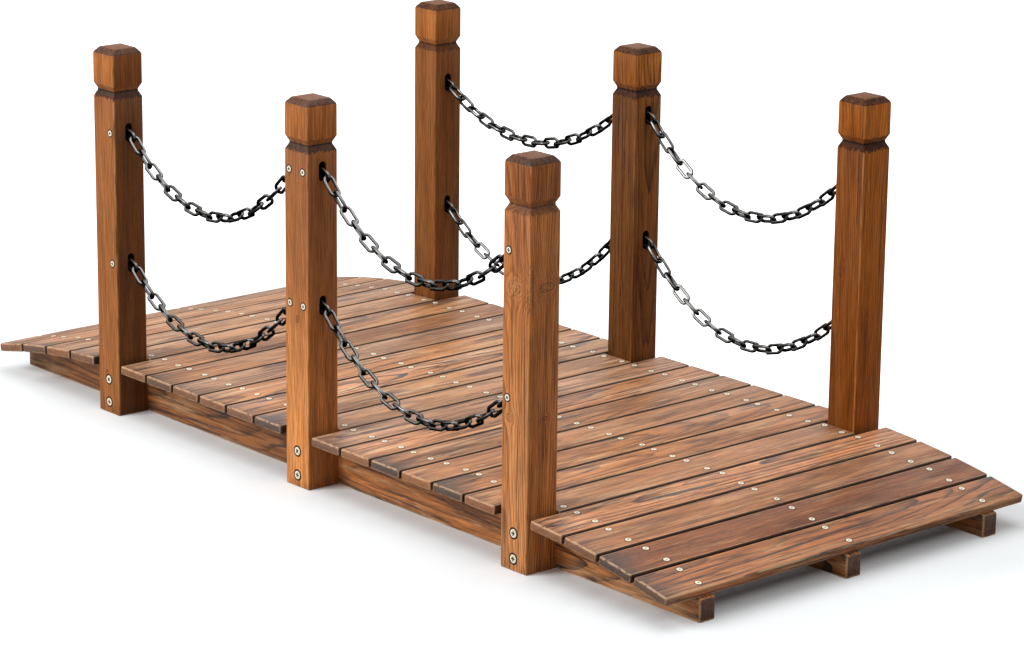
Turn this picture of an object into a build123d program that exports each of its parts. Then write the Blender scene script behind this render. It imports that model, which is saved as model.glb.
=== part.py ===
from build123d import *
import math
import os

# A garden footbridge in timber: three stringers, a deck of cross boards, six posts and eight chains.
# X runs along the walk, Y across it, Z up. The origin is on the ground under the middle of the deck.

# Deck boards
board_pitch = 66.0
board_gap = 4.5
board_thickness = 13.0
board_length = 667.0
board_edge_chamfer = 2.2
boards_per_bay = 6
boards_per_end = 4
short_board_clearance = 1.0

# Stringers
stringer_overhang = 3.0
stringer_depth = 68.0
stringer_end_depth = 30.0
stringer_bend_length = 335.0
stringer_thickness = 28.0
stringer_spacing = 264.0
stringer_corner_chamfer = 3.0

# Posts
post_size = 52.0
post_height = 553.5
post_edge_chamfer = 1.5
head_bevel_inset = 7.0
head_bevel_height = 8.0
head_height = 45.0
neck_depth = 5.0
neck_half_height = 10.0

# Chain slots and the screws that hold the end links; upper slots are set down from the post's top,
# lower ones up from the top of the deck
end_post_upper_drop = 124.0
middle_post_upper_drop = 100.0
end_post_lower_rise = 152.0
middle_post_lower_rise = 183.0
slot_side_play = 8.0
slot_height_play = 9.2
slot_end_play = 2.4
slot_end_sides = 12
screw_inset = 10.8
screw_diameter = 5.0
screw_sides = 8

# Chain links
link_wire = 5.0
link_wire_sides = 4
link_inner_length = 26.3
link_inner_width = 8.8
link_corner = 2.4
link_clearance = 0.3
chain_slack = 1.12
short_chain_slack = 1.05
middle_link_turn = 45.0

near_side = -1
far_side = 1
low_end = -1
high_end = 1

# Sizes that follow
board_width = board_pitch - board_gap
post_station = boards_per_bay + 1
last_board = post_station + boards_per_end
stringer_half = last_board * board_pitch + board_width / 2 + stringer_overhang
flat_half = stringer_half - stringer_bend_length
bend_drop = stringer_depth - stringer_end_depth
bend_radius = (stringer_bend_length ** 2 + bend_drop ** 2) / (2 * bend_drop)
bend_angle = math.asin(stringer_bend_length / bend_radius)
post_inner_face = stringer_spacing + stringer_thickness / 2
post_centre = post_inner_face + post_size / 2
deck_top = stringer_depth + board_thickness
link_width = link_inner_width + 2 * link_wire
slot_width = link_wire + slot_side_play
slot_height = link_width + slot_height_play
slot_depth = screw_inset + screw_diameter / 2 + link_clearance + link_wire + slot_end_play
link_pitch = link_inner_length - link_clearance
screw_step = (screw_diameter + link_clearance) / 2

os.makedirs("parts", exist_ok=True)


def write(shape, name):
    export_step(shape, f"parts/{name}.step")


def deck_line(distance):
    """Place and slope of the stringer's top edge, at a distance along it from mid-span."""
    beyond = max(abs(distance) - flat_half, 0.0)
    turn = beyond / bend_radius
    sign = math.copysign(1.0, distance)
    along = min(abs(distance), flat_half) + bend_radius * math.sin(turn)
    height = stringer_depth - bend_radius * (1 - math.cos(turn))
    return sign * along, height, sign * turn


def stringer():
    """One stringer: flat underneath, straight on top in the middle and bending down to both ends."""
    bend_middle = deck_line(flat_half + bend_radius * bend_angle / 2)
    foot = (stringer_half, 0)
    tip = (stringer_half, stringer_end_depth)
    crown = (flat_half, stringer_depth)
    bend = ThreePointArc(tip, (bend_middle[0], bend_middle[1]), crown)
    other_bend = mirror(bend, Plane.YZ)
    outline = [
        Line((-foot[0], foot[1]), foot),
        Line(foot, tip),
        bend,
        Line(crown, (-crown[0], crown[1])),
        other_bend,
        Line((-tip[0], tip[1]), (-foot[0], foot[1])),
    ]
    side = Plane.XZ * make_face(Curve() + outline)
    plank = extrude(side, stringer_thickness / 2, both=True)
    return chamfer(plank.edges().filter_by(Axis.Z), stringer_corner_chamfer)


def eased_section(width, height, ease):
    """A rectangular timber section with its four corners taken off."""
    section = Rectangle(width, height)
    return chamfer(section.vertices(), ease)


def board(number, length):
    """One cross board, eased along its four edges, lying on the stringers at its own station."""
    along, height, slope = deck_line(number * board_pitch)
    section = Pos(0, board_thickness / 2) * eased_section(board_width, board_thickness, board_edge_chamfer)
    plank = extrude(Plane.XZ * section, length / 2, both=True)
    return Pos(along, 0, height) * Rot(0, math.degrees(slope), 0) * plank


def post_blank():
    """A square post with eased corners, a V-shaped neck all round and a bevelled head."""
    bevel_base = post_height - head_bevel_height
    head_base = bevel_base - head_height
    neck = head_base - neck_half_height
    shoulder = neck - neck_half_height
    levels = [
        (0, post_size),
        (shoulder, post_size),
        (neck, post_size - 2 * neck_depth),
        (head_base, post_size),
        (bevel_base, post_size),
        (post_height, post_size - 2 * head_bevel_inset),
    ]
    sections = [Pos(0, 0, level) * eased_section(size, size, post_edge_chamfer) for level, size in levels]
    return loft(sections, ruled=True)


def chain_slot():
    """The cutter for one chain slot, its ends rounded by short flats, open towards both X directions."""
    end_offset = (slot_height - slot_width) / 2
    slot_end = RegularPolygon(slot_width / 2, slot_end_sides, major_radius=False)
    slot_face = Rectangle(slot_width, 2 * end_offset)
    slot_face += Pos(0, end_offset) * slot_end
    slot_face += Pos(0, -end_offset) * slot_end
    return extrude(Plane.YZ * slot_face, slot_depth, both=True)


def slot_heights(station):
    """Heights of the lower and the upper chain on a post."""
    if station == 0:
        return deck_top + middle_post_lower_rise, post_height - middle_post_upper_drop
    return deck_top + end_post_lower_rise, post_height - end_post_upper_drop


def chain_faces(station):
    """The X directions in which chains leave a post."""
    if station == 0:
        return [low_end, high_end]
    return [-station]


def chain_screw():
    """The shank of a chain screw, from one wall of its slot to the other."""
    shank = RegularPolygon(screw_diameter / 2, screw_sides)
    return extrude(Plane.XZ * shank, slot_width / 2, both=True)


def screw_places(side, station):
    """The middle of each chain screw of a post."""
    along = deck_line(station * post_station * board_pitch)[0]
    return [
        Pos(along + face * (post_size / 2 - screw_inset), side * post_centre, height)
        for height in slot_heights(station)
        for face in chain_faces(station)
    ]


def post(side, station):
    """One post, with its chain slots cut."""
    along = deck_line(station * post_station * board_pitch)[0]
    timber = Pos(along, side * post_centre, 0) * post_blank()
    slot = chain_slot()
    for height in slot_heights(station):
        for face in chain_faces(station):
            timber -= Pos(along + face * post_size / 2, side * post_centre, height) * slot
    return timber


def link_outline(length, width, corner):
    """A long octagon: a rectangle with its corners cut."""
    return [
        (length / 2, width / 2 - corner),
        (length / 2 - corner, width / 2),
        (corner - length / 2, width / 2),
        (-length / 2, width / 2 - corner),
        (-length / 2, corner - width / 2),
        (corner - length / 2, -width / 2),
        (length / 2 - corner, -width / 2),
        (length / 2, corner - width / 2),
    ]


def chain_link():
    """One link, lying along X in the plane Y = 0, its wire bent with cut corners."""
    wire_corner = link_corner + link_wire / 2 * (2 - math.sqrt(2))
    corners = link_outline(link_inner_length + link_wire, link_inner_width + link_wire, wire_corner)
    wire_line = Plane.XZ * Polyline(*corners, close=True)
    wire_start = Plane(origin=wire_line @ 0, z_dir=wire_line % 0, x_dir=(0, 1, 0))
    wire = wire_start * RegularPolygon(link_wire / 2, link_wire_sides)
    return sweep(wire, path=wire_line, transition=Transition.RIGHT)


def end_link_slope():
    """How steeply an end link lies in its slot, from its screw down to the slot's lower lip."""
    lip = slot_height / 2 - link_clearance
    return math.acos(link_width / 2 / math.hypot(lip, screw_inset)) - math.atan2(screw_inset, lip)


def link_slopes(count, lowest, stretch):
    """Slopes of the free links of a hanging chain: their tangents rise by equal steps from link to link."""
    return [math.atan((number - lowest) * stretch) for number in range(count)]


def reach(slopes):
    """How far a row of free links carries, along and up."""
    along = sum(math.cos(slope) for slope in slopes)
    up = sum(math.sin(slope) for slope in slopes)
    return along * link_pitch, up * link_pitch


def hanging_slopes(count, along, up):
    """Slopes with which a number of free links hang between two points."""
    lowest = (count - 1) / 2
    stretch = 0.1
    for _ in range(60):
        slack_low, slack_high = 0.0, 4.0
        for _ in range(60):
            stretch = (slack_low + slack_high) / 2
            if reach(link_slopes(count, lowest, stretch))[0] > along:
                slack_low = stretch
            else:
                slack_high = stretch
        rise = reach(link_slopes(count, lowest, stretch))[1]
        lowest += (rise - up) / (link_pitch * stretch * count)
    return link_slopes(count, lowest, stretch)


def chain(side, bay, level, slack):
    """One chain, hung between the screws of two posts; its end links lie on the lips of their slots."""
    first_post, last_post = (bay, 0) if bay < 0 else (0, bay)
    pin_inset = post_size / 2 - screw_inset
    station_x = board_pitch * post_station
    start = (deck_line(first_post * station_x)[0] + pin_inset, slot_heights(first_post)[level])
    end = (deck_line(last_post * station_x)[0] - pin_inset, slot_heights(last_post)[level])
    dip = end_link_slope()
    end_reach = link_pitch - screw_step
    free_along = end[0] - start[0] - 2 * end_reach * math.cos(dip)
    free_up = end[1] - start[1]
    free_count = math.ceil(slack * math.hypot(free_along, free_up) / link_pitch)
    slopes = [-dip] + hanging_slopes(free_count, free_along, free_up) + [dip]
    count = len(slopes)
    twist_total = 90.0 * (count % 2 == 0)
    link = chain_link()
    links = []
    along = start[0] - screw_step * math.cos(dip)
    height = start[1] + screw_step * math.sin(dip)
    for number, slope in enumerate(slopes):
        step_x = link_pitch * math.cos(slope) / 2
        step_z = link_pitch * math.sin(slope) / 2
        share = number / (count - 1)
        turn = 90.0 * (number % 2) + twist_total * share
        turn -= side * middle_link_turn * math.sin(math.pi * share)
        place = Pos(along + step_x, side * post_centre, height + step_z)
        links.append(place * Rot(0, -math.degrees(slope), 0) * Rot(turn, 0, 0) * link)
        along += 2 * step_x
        height += 2 * step_z
    return Compound(children=links)


for name, offset in (("near", -stringer_spacing), ("middle", 0.0), ("far", stringer_spacing)):
    write(Pos(0, offset, 0) * stringer(), f"stringer_{name}")

short_length = 2 * (post_inner_face - short_board_clearance)
for number in range(-last_board, last_board + 1):
    beside_post = number in (-post_station, 0, post_station)
    length = short_length if beside_post else board_length
    write(board(number, length), f"board_{number + last_board + 1:02d}")

for side, side_name in ((near_side, "near"), (far_side, "far")):
    screws = []
    for station, station_name in ((low_end, "a"), (0, "b"), (high_end, "c")):
        write(post(side, station), f"post_{side_name}_{station_name}")
        screws += [place * chain_screw() for place in screw_places(side, station)]
    write(Compound(children=screws), f"chain_screws_{side_name}")
    for bay, bay_name in ((low_end, "ab"), (high_end, "bc")):
        for level, level_name in ((0, "lower"), (1, "upper")):
            is_short = side == far_side and bay == low_end and level == 1
            slack = short_chain_slack if is_short else chain_slack
            write(chain(side, bay, level, slack), f"chain_{side_name}_{bay_name}_{level_name}")
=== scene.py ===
"""Looks of a garden footbridge in stained timber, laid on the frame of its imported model."""

import logging
import math
import random
from collections.abc import Callable, Iterator
from contextlib import contextmanager
from dataclasses import dataclass, field, replace
from enum import Enum
from functools import reduce

import bmesh
import bpy
import numpy as np
from mathutils import Matrix, Vector


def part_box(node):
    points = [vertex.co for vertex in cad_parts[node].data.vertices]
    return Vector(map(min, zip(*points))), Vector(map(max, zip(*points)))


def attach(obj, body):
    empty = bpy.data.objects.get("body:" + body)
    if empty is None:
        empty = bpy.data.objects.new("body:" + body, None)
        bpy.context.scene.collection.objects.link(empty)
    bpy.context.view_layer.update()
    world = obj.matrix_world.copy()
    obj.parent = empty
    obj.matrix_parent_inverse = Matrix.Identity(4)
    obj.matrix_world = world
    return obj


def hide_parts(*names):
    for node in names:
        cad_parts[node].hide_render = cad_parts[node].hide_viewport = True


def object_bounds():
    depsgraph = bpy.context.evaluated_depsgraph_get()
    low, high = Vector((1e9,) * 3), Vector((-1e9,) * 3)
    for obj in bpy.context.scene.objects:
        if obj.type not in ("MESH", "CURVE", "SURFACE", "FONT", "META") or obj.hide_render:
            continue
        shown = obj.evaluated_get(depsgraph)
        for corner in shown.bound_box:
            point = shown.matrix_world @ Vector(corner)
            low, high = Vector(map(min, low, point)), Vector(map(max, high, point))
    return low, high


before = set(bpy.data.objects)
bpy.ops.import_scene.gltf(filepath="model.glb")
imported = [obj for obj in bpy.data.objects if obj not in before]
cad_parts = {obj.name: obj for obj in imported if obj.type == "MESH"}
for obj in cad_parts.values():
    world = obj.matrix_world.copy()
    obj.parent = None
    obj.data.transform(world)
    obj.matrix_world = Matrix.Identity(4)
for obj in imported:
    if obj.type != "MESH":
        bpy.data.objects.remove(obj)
cad_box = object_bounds()

Colour = tuple[float, float, float]
Socket = bpy.types.NodeSocket
Value = Socket | float
Pair = tuple[float, float]
Place = tuple[float, float, float]
Piece = bpy.types.Object
Material = bpy.types.Material

BODY = "root"
HAIR = 0.0002
EVEN: Colour = (1.0, 1.0, 1.0)
SLOT_LEVELS = {-1: (0.233, 0.4295), 0: (0.264, 0.4535), 1: (0.233, 0.4295)}
SLOT_WAYS = {-1: (1,), 0: (-1, 1), 1: (-1,)}

log = logging.getLogger("footbridge")


class Pick(Enum):
    """What an edit acts on."""

    VERTS = (True, False, False)
    EDGES = (False, True, False)
    FACES = (False, False, True)


class Grain(Enum):
    """Which way a timber's grain runs in the bridge, as the turn from timber space to the frame."""

    ALONG_WALK = Matrix.Rotation(math.radians(-90), 4, "Z")
    UPRIGHT = Matrix.Rotation(math.radians(90), 4, "X")


class Marks(Enum):
    """Kinds of noise: marks in a metre along each axis, number of layers, and weight of the finer ones."""

    FIBRE = ((560, 22, 560), 4.0, 0.72)
    BROAD = ((24, 4, 24), 4.0, 0.6)
    BLEACH = ((52, 6, 52), 5.0, 0.66)
    STREAK = ((80, 5, 80), 5.0, 0.68)
    HAIR = ((240, 6.5, 240), 5.0, 0.72)
    CLOUD = ((16, 4.5, 16), 3.0, 0.55)
    PATCH = ((34, 7, 34), 3.0, 0.6)
    FLECK = ((460, 26, 460), 2.0, 0.6)
    TEETH = ((420, 20, 420), 2.0, 0.5)
    KNOT_RIM = ((300, 120, 300), 2.0, 0.6)
    WORN = ((120, 22, 260), 3.0, 0.6)
    END_GRAIN = ((420, 420, 420), 3.0, 0.6)
    LONG_WANDER = ((10, 2.2, 10), 1.0, 0.4)
    WANDER = ((50, 7, 50), 1.0, 0.4)
    SHORT_WANDER = ((190, 16, 190), 1.0, 0.4)
    STEEL = ((110, 110, 110), 3.0, 0.6)
    PITS = ((700, 700, 700), 2.0, 0.6)
    PLATE = ((240, 240, 240), 3.0, 0.6)
    SHADE_NOISE = ((500, 500, 500), 2.0, 0.6)


def srgb(red: int, green: int, blue: int) -> Colour:
    """Linear colour from the usual 0 to 255 values."""
    steps = [value / 255 for value in (red, green, blue)]
    return tuple(s / 12.92 if s < 0.04045 else ((s + 0.055) / 1.055) ** 2.4 for s in steps)


NEAR_BLACK = srgb(14, 9, 7)
GAP_SHADE_BROWN = srgb(24, 14, 10)


def take(piece: Piece) -> None:
    """Select one piece alone and make it the active one.

    Args:
        piece: The piece to work on.
    """
    bpy.ops.object.select_all(action="DESELECT")
    piece.select_set(True)
    bpy.context.view_layer.objects.active = piece


@contextmanager
def editing(piece: Piece, pick: Pick, test: Callable[..., bool] = lambda *_: True) -> Iterator[None]:
    """Edit mode on a piece, with the parts of its mesh chosen that pass a test.

    Args:
        piece: The piece to edit.
        pick: Whether vertices, edges or faces are chosen.
        test: Takes a vertex's place, an edge's middle and direction, or a face's centre and normal.
    """
    take(piece)
    mesh = piece.data
    for group in (mesh.vertices, mesh.edges, mesh.polygons):
        group.foreach_set("select", [False] * len(group))
    if pick is Pick.VERTS:
        for vert in mesh.vertices:
            vert.select = test(vert.co)
    elif pick is Pick.EDGES:
        for edge in mesh.edges:
            start, end = (mesh.vertices[i].co for i in edge.vertices)
            edge.select = test((start + end) / 2, (end - start).normalized())
    else:
        for face in mesh.polygons:
            face.select = test(face.center, face.normal)
    bpy.context.tool_settings.mesh_select_mode = pick.value
    bpy.ops.object.mode_set(mode="EDIT")
    yield
    bpy.ops.object.mode_set(mode="OBJECT")


def shift(piece: Piece, step: tuple, test: Callable[..., bool] = lambda *_: True) -> None:
    """Move the vertices of a piece that pass a test."""
    with editing(piece, Pick.VERTS, test):
        bpy.ops.transform.translate(value=step)


def cut_across(piece: Piece, place: tuple, normal: tuple) -> None:
    """Cut a ring of edges round a piece where a plane passes through it."""
    with editing(piece, Pick.FACES):
        bpy.ops.mesh.bisect(plane_co=place, plane_no=normal)


def finish_modifier(piece: Piece, kind: str, **settings: object) -> None:
    """Add a modifier to a piece and apply it.

    Args:
        piece: The piece to change.
        kind: The modifier's type.
        settings: Values of the modifier's own properties.
    """
    take(piece)
    modifier = piece.modifiers.new(kind.title(), kind)
    for name, value in settings.items():
        setattr(modifier, name, value)
    bpy.ops.object.modifier_apply(modifier=modifier.name)


def primitive(add: Callable[..., object], **settings: object) -> Piece:
    """A new primitive, with its place and turn taken into its mesh.

    Args:
        add: The operator that adds it.
        settings: The operator's values.

    Returns:
        The primitive.
    """
    bpy.ops.object.select_all(action="DESELECT")
    add(**settings)
    bpy.ops.object.transform_apply()
    return bpy.context.active_object


def block(size: Vector) -> Piece:
    """A block about the origin, the start of a sawn timber.

    Args:
        size: Its three sides in metres.

    Returns:
        The block.
    """
    piece = primitive(bpy.ops.mesh.primitive_cube_add, size=1)
    with editing(piece, Pick.VERTS):
        bpy.ops.transform.resize(value=size, center_override=(0, 0, 0))
    return piece


def twin(piece: Piece, name: str, place: Matrix) -> Piece:
    """A copy of a piece with a mesh of its own, its place in the mesh.

    Args:
        piece: The piece to copy.
        name: The copy's name.
        place: Where the copy goes.

    Returns:
        The copy, at the origin.
    """
    copy = bpy.data.objects.new(name, piece.data.copy())
    copy.data.name = name
    copy.data.transform(place)
    bpy.context.collection.objects.link(copy)
    return copy


def join(pieces: list[Piece], name: str) -> Piece:
    """One piece out of several.

    Args:
        pieces: The pieces, which end as one.
        name: The name of the whole.

    Returns:
        The whole.
    """
    take(pieces[0])
    for piece in pieces:
        piece.select_set(True)
    bpy.ops.object.join()
    pieces[0].name = name
    pieces[0].data.name = name
    return pieces[0]


def scrap(*pieces: Piece) -> None:
    """Remove patterns that have been copied."""
    for piece in pieces:
        bpy.data.meshes.remove(piece.data)


def smooth(piece: Piece, degrees: float) -> None:
    """Shade a piece smooth wherever its faces meet at less than an angle."""
    take(piece)
    bpy.ops.object.shade_smooth_by_angle(angle=math.radians(degrees))


def dress(piece: Piece, *materials: Material) -> None:
    """Give a piece its materials in place of any others.

    Args:
        piece: The piece.
        materials: Its materials in order.
    """
    piece.data.materials.clear()
    for material in materials:
        piece.data.materials.append(material)


def fit_out(piece: Piece, slot: str, *nodes: str) -> None:
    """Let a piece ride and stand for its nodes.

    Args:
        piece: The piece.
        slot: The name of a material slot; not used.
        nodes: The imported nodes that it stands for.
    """
    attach(piece, BODY)
    if nodes:
        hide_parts(*nodes)
    log.info("%s: %d faces", piece.name, len(piece.data.polygons))


def node_names(start: str) -> list[str]:
    """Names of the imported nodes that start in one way, in order, without the chain screws."""
    return sorted(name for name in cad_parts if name.startswith(start) and "screws" not in name)


def node_islands(name: str) -> list[np.ndarray]:
    """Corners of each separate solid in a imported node.

    Args:
        name: The node.

    Returns:
        One array for each solid, with a row of three values for each corner, in metres.
    """
    work = bmesh.new()
    work.from_mesh(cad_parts[name].data)
    bmesh.ops.remove_doubles(work, verts=work.verts, dist=HAIR / 10)
    islands, seen = [], set()
    for start in work.verts:
        if start in seen:
            continue
        island, front = [], [start]
        seen.add(start)
        while front:
            vert = front.pop()
            island.append(vert.co.to_tuple())
            for edge in vert.link_edges:
                other = edge.other_vert(vert)
                if other not in seen:
                    seen.add(other)
                    front.append(other)
        islands.append(np.array(island))
    work.free()
    return islands


@dataclass(frozen=True)
class Lie:
    """How a long flat thing lies: its place, width along X and length along Y, and its three sizes."""

    place: Matrix
    size: Vector

    @classmethod
    def of(cls, points: np.ndarray) -> "Lie":
        """The lie of a cloud of corners.

        Args:
            points: One row for each corner.

        Returns:
            Its lie, with its thinnest side upwards.
        """
        centred = points - points.mean(axis=0)
        thin, _, long = np.linalg.eigh(centred.T @ centred)[1].T
        long = long if long[1] >= 0 else -long
        thin = thin if thin[2] >= 0 else -thin
        axes = np.array([np.cross(long, thin), long, thin])
        spans = points @ axes.T
        low, high = spans.min(axis=0), spans.max(axis=0)
        middle = Vector((low + high) / 2 @ axes)
        return cls(Matrix.Translation(middle) @ Matrix(axes.T.tolist()).to_4x4(), Vector(high - low))


class Wiring:
    """Lays shader nodes in one tree and joins them."""

    def __init__(self, owner: Material | bpy.types.World, shader: str) -> None:
        """Open the tree of a material or of the world.

        Args:
            owner: What the nodes are for.
            shader: The name of the shader node that is fed.
        """
        owner.use_nodes = True
        self.tree = owner.node_tree
        self.shader = self.tree.nodes[shader]

    def lay(self, kind: str, inputs: dict[str | int, object], **settings: object) -> bpy.types.Node:
        """Lay one node and feed it.

        Args:
            kind: The node's type.
            inputs: A socket to join or a value to set, by input name or number.
            settings: The node's own properties.

        Returns:
            The node.
        """
        node = self.tree.nodes.new(kind)
        for name, value in settings.items():
            setattr(node, name, value)
        for key, value in inputs.items():
            self.give(node.inputs[key], value)
        return node

    def give(self, socket: Socket, value: object) -> None:
        """Join a socket to another, or set its value.

        Args:
            socket: The input.
            value: A socket or a value.
        """
        if isinstance(value, Socket):
            self.tree.links.new(value, socket)
        else:
            socket.default_value = value

    def feed(self, name: str, value: object) -> None:
        """Feed one input of the shader."""
        self.give(self.shader.inputs[name], value)

    def math(self, operation: str, *values: Value, clamp: bool = False) -> Socket:
        """A sum on numbers, kept between 0 and 1 if asked."""
        inputs = dict(enumerate(values))
        return self.lay("ShaderNodeMath", inputs, operation=operation, use_clamp=clamp).outputs[0]

    def times(self, *values: Value) -> Socket:
        """The product of two numbers or more."""
        return reduce(lambda first, second: self.math("MULTIPLY", first, second), values)

    def vector(self, operation: str, *values: Socket | tuple) -> Socket:
        """A sum on vectors: the vector, or the number for a length."""
        node = self.lay("ShaderNodeVectorMath", dict(enumerate(values)), operation=operation)
        return node.outputs["Value" if operation == "LENGTH" else "Vector"]

    def noise(self, where: Socket, marks: Marks, output: str = "Fac") -> Socket:
        """Noise of one kind.

        Args:
            where: The place it is read at.
            marks: The kind.
            output: Which of its outputs is wanted.

        Returns:
            The noise.
        """
        scale, detail, roughness = marks.value
        place = self.vector("MULTIPLY", where, scale)
        inputs = {"Vector": place, "Scale": 1.0, "Detail": detail, "Roughness": roughness}
        return self.lay("ShaderNodeTexNoise", inputs).outputs[output]

    def span(self, value: Socket, start: float, end: float, low: float = 0.0, high: float = 1.0) -> Socket:
        """A smooth step of a value, from low before the start to high after the end."""
        inputs = {"Value": value, "From Min": start, "From Max": end, "To Min": low, "To Max": high}
        return self.lay("ShaderNodeMapRange", inputs, interpolation_type="SMOOTHSTEP").outputs[0]

    def near(self, value: Socket, start: float, end: float, low: float = 0.0, high: float = 1.0) -> Socket:
        """A smooth step the other way, from high before the start to low after the end."""
        return self.span(value, start, end, high, low)

    def mix(self, share: Value, *colours: Socket | Colour, blend: str = "MIX") -> Socket:
        """A mix of two colours, with a share of the second, in the way that is named."""
        inputs = {i: (*c, 1.0) if isinstance(c, tuple) else c for i, c in zip((0, 6, 7), (share, *colours))}
        return self.lay("ShaderNodeMix", inputs, data_type="RGBA", blend_type=blend).outputs[2]

    def bump(self, height: Socket, depth: float, strength: float) -> Socket:
        """A bumped normal, from a height between 0 and 1 and the metres between them."""
        inputs = {"Height": height, "Distance": depth, "Strength": strength}
        return self.lay("ShaderNodeBump", inputs).outputs[0]


class Surface(Wiring):
    """The wiring of a new material, which reads the place on the piece."""

    def __init__(self, name: str) -> None:
        """Start a material.

        Args:
            name: The material's name.
        """
        self.material = bpy.data.materials.new(name)
        super().__init__(self.material, "Principled BSDF")
        self.coords = self.lay("ShaderNodeTexCoord", {}).outputs["Object"]


@dataclass(frozen=True)
class Coat:
    """A plain finish: a cloud of two colours, with the roughness after it."""

    name: str
    marks: Marks
    first: Colour
    second: Colour
    roughness: Pair
    spread: Pair | None = None
    sheen: float = 0.5

    def material(self) -> Material:
        """Wire the finish.

        Returns:
            The material.
        """
        pad = Surface(self.name)
        cloud = pad.noise(pad.coords, self.marks)
        share = pad.span(cloud, *self.spread) if self.spread else cloud
        pad.feed("Base Color", pad.mix(share, self.first, self.second))
        pad.feed("Roughness", pad.span(cloud, 0.3, 0.7, *self.roughness))
        pad.feed("Normal", pad.bump(cloud, 0.0002, 0.3))
        pad.feed("Specular IOR Level", self.sheen)
        return pad.material


@dataclass(frozen=True)
class Stain:
    """The colours and figure of one stained timber."""

    early: Colour = srgb(204, 136, 84)
    late: Colour = srgb(88, 48, 27)
    dark: Colour = srgb(58, 33, 22)
    grey: Colour = srgb(74, 66, 63)
    raw: Colour = srgb(236, 188, 140)
    soaked: Colour = srgb(84, 52, 38)
    end: Colour = srgb(92, 76, 68)
    bare_end: Colour = srgb(170, 108, 64)
    bleach: float = 0.5
    streaks: float = 0.75
    ring_pitch: float = 0.0060
    ring_depth: float = 0.75
    cathedral: float = 0.009
    soak: float = 0.6
    grey_share: float = 0.5
    line_depth: float = 0.55
    tone: float = 1.0
    sheen: float = 0.5
    flecks: float = 0.35
    end_share: float = 0.8


class Kind(Enum):
    """The kinds of stained timber in the bridge."""

    WARM = Stain()
    FIGURED = Stain(
        early=srgb(210, 136, 85), late=srgb(58, 33, 22), ring_pitch=0.0046, ring_depth=1.0,
        cathedral=0.010, grey_share=0.9, soak=0.35, line_depth=0.75, tone=0.88,
    )
    PLAIN = Stain(
        early=srgb(192, 126, 78), late=srgb(116, 68, 40), ring_depth=0.55, grey_share=0.25, soak=0.5,
        bleach=0.35, streaks=0.45,
    )
    DARK = Stain(
        early=srgb(150, 88, 50), late=srgb(84, 46, 26), ring_depth=0.45, grey_share=0.1, soak=0.5,
        tone=0.9, bleach=0.2, streaks=0.35, sheen=0.4,
    )
    GREYED = Stain(
        early=srgb(196, 138, 98), late=srgb(82, 52, 38), ring_depth=0.8, grey_share=1.0, soak=0.5,
    )
    STRINGER = Stain(
        early=srgb(206, 130, 70), late=srgb(44, 30, 23), soaked=srgb(66, 49, 40), end=srgb(66, 38, 28),
        ring_pitch=0.0056, ring_depth=1.0, cathedral=0.020, grey_share=0.9, soak=0.6, line_depth=0.7,
        streaks=0.6, tone=1.13, end_share=0.0,
    )
    POST = Stain(
        late=srgb(110, 58, 26), dark=srgb(78, 40, 20), raw=srgb(232, 160, 96), soaked=srgb(120, 66, 32),
        end=srgb(48, 32, 26), ring_pitch=0.0026, cathedral=0.005, soak=0.35, bleach=0.15, streaks=0.15,
        grey_share=0.0, flecks=0.12, end_share=0.0,
    )


@dataclass(frozen=True)
class Knot:
    """A knot in a timber: its place from the timber's middle, in timber space, and its radius.

    The wood round it is paler by `pale`, it is drawn out along the grain if `slim` is under 1, and
    `rim` is how dark its rim is.
    """

    across: float
    along: float
    radius: float
    depth: float = 0.0
    pale: float = 0.0
    slim: float = 0.6
    rim: float = 0.9


@dataclass(frozen=True)
class Check:
    """A drying crack along the grain of a timber's broad faces, in timber space, in metres."""

    across: float
    low: float
    high: float


@dataclass(frozen=True)
class DarkBand:
    """A dark band across a timber, between two places along it, with ragged ends."""

    low: float
    high: float
    depth: float
    ragged: float
    brown: Colour = srgb(70, 40, 26)
    black: Colour = srgb(24, 15, 12)


@dataclass(frozen=True)
class Shade:
    """A change of tone along a timber between two places, and how much shows on the narrow sides."""

    start: float
    end: float
    low: Colour
    high: Colour
    on_sides: float = 1.0


@dataclass(frozen=True)
class Timber:
    """One piece of timber: how it lies, how large it is, how it was sawn, what it has been through and the
    light and shade painted on it.
    """

    name: str
    place: Matrix
    half: Vector
    stain: Stain
    pith: Pair
    tilt: Pair
    seed: int
    knots: tuple[Knot, ...] = ()
    dark_bands: tuple[DarkBand, ...] = ()
    checks: tuple[Check, ...] = ()
    shades: tuple[Shade, ...] = ()
    edge_wear_and_highlight: float = 0.6
    # How strongly painted shade darkens the narrow sides in the gaps between boards.
    painted_gap_shade: float = 0.0
    side_light_and_stain: float = 1.0
    end_grey: float = 0.6
    bore: float = 0.0


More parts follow.
